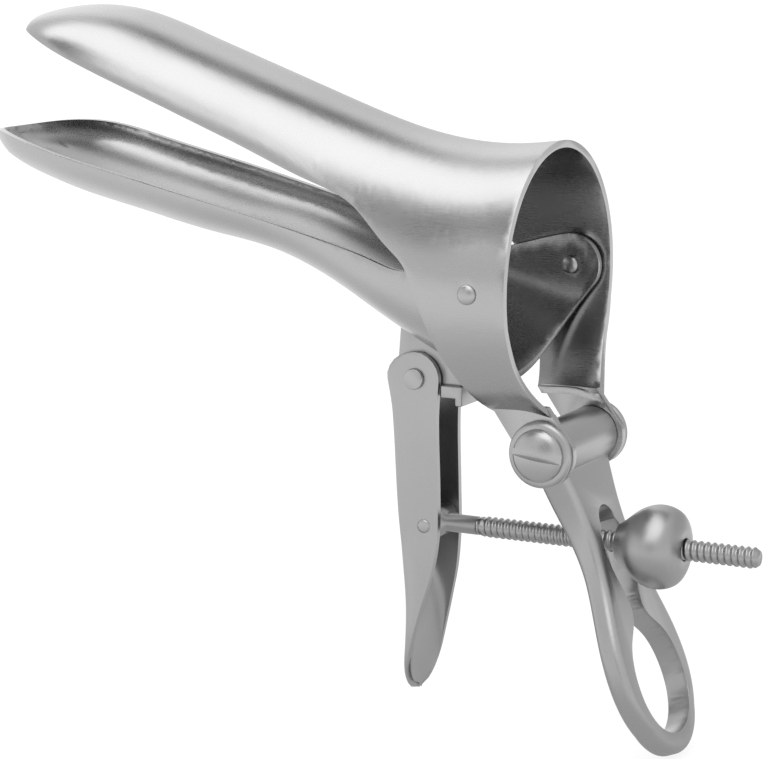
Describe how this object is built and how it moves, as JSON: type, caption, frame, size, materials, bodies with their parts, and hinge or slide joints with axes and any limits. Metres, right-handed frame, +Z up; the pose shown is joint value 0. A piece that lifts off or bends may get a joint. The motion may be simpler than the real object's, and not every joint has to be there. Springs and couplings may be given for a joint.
{
  "type": "bivalve speculum",
  "caption": "Hinged two-blade speculum with a ring funnel, a loop handle, a thumb lever and a threaded rod whose nut sets the opening.",
  "frame": {"origin": "middle of the hinge axis of the two side rivets", "axes": "-X towards the blade tips, +X towards the user, Y along every hinge axis with the near side at -Y, Z up"},
  "size_m": [0.1606, 0.0504, 0.1355],
  "materials": {
    "blade_steel": "satin-ground stainless sheet",
    "forged_steel": "satin stainless forging",
    "pin_steel": "satin stainless rivet and screw",
    "rod_steel": "cut stainless thread",
    "nut_steel": "turned satin stainless"
  },
  "bodies": {
    "upper_frame": {"upper_blade": "blade_steel", "near_hinge_rivet": "pin_steel", "far_hinge_rivet": "pin_steel", "near_eye_boss": "forged_steel", "far_eye_boss": "forged_steel", "handle_screw": "pin_steel", "handle": "forged_steel"},
    "lower_valve": {"lower_blade": "blade_steel", "lever_bracket": "forged_steel", "lever_pin": "pin_steel", "lever": "forged_steel", "rod_pin": "pin_steel"},
    "rod": {"threaded_rod": "rod_steel"},
    "nut": {"adjusting_nut": "nut_steel"}
  },
  "joints": [
    {"name": "blade_hinge", "type": "hinge", "parent": "upper_frame", "child": "lower_valve", "pos_m": [0, 0, 0], "axis": [0, -1, 0], "range_deg": [-10, 25]},
    {"name": "rod_swing", "type": "hinge", "parent": "lower_valve", "child": "rod", "pos_m": [-0.0182, 0, -0.048], "axis": [0, -1, 0], "range_deg": [-13, 6]},
    {"name": "nut_travel", "type": "slide", "parent": "rod", "child": "nut", "axis": [1, 0, 0], "range_m": [-0.022, 0.01]}
  ],
  "couplings": [
    {"joint": "rod_swing", "follows": "blade_hinge", "ratio": -0.5},
    {"joint": "nut_travel", "follows": "blade_hinge", "m_per_rad": -0.0495}
  ]
}
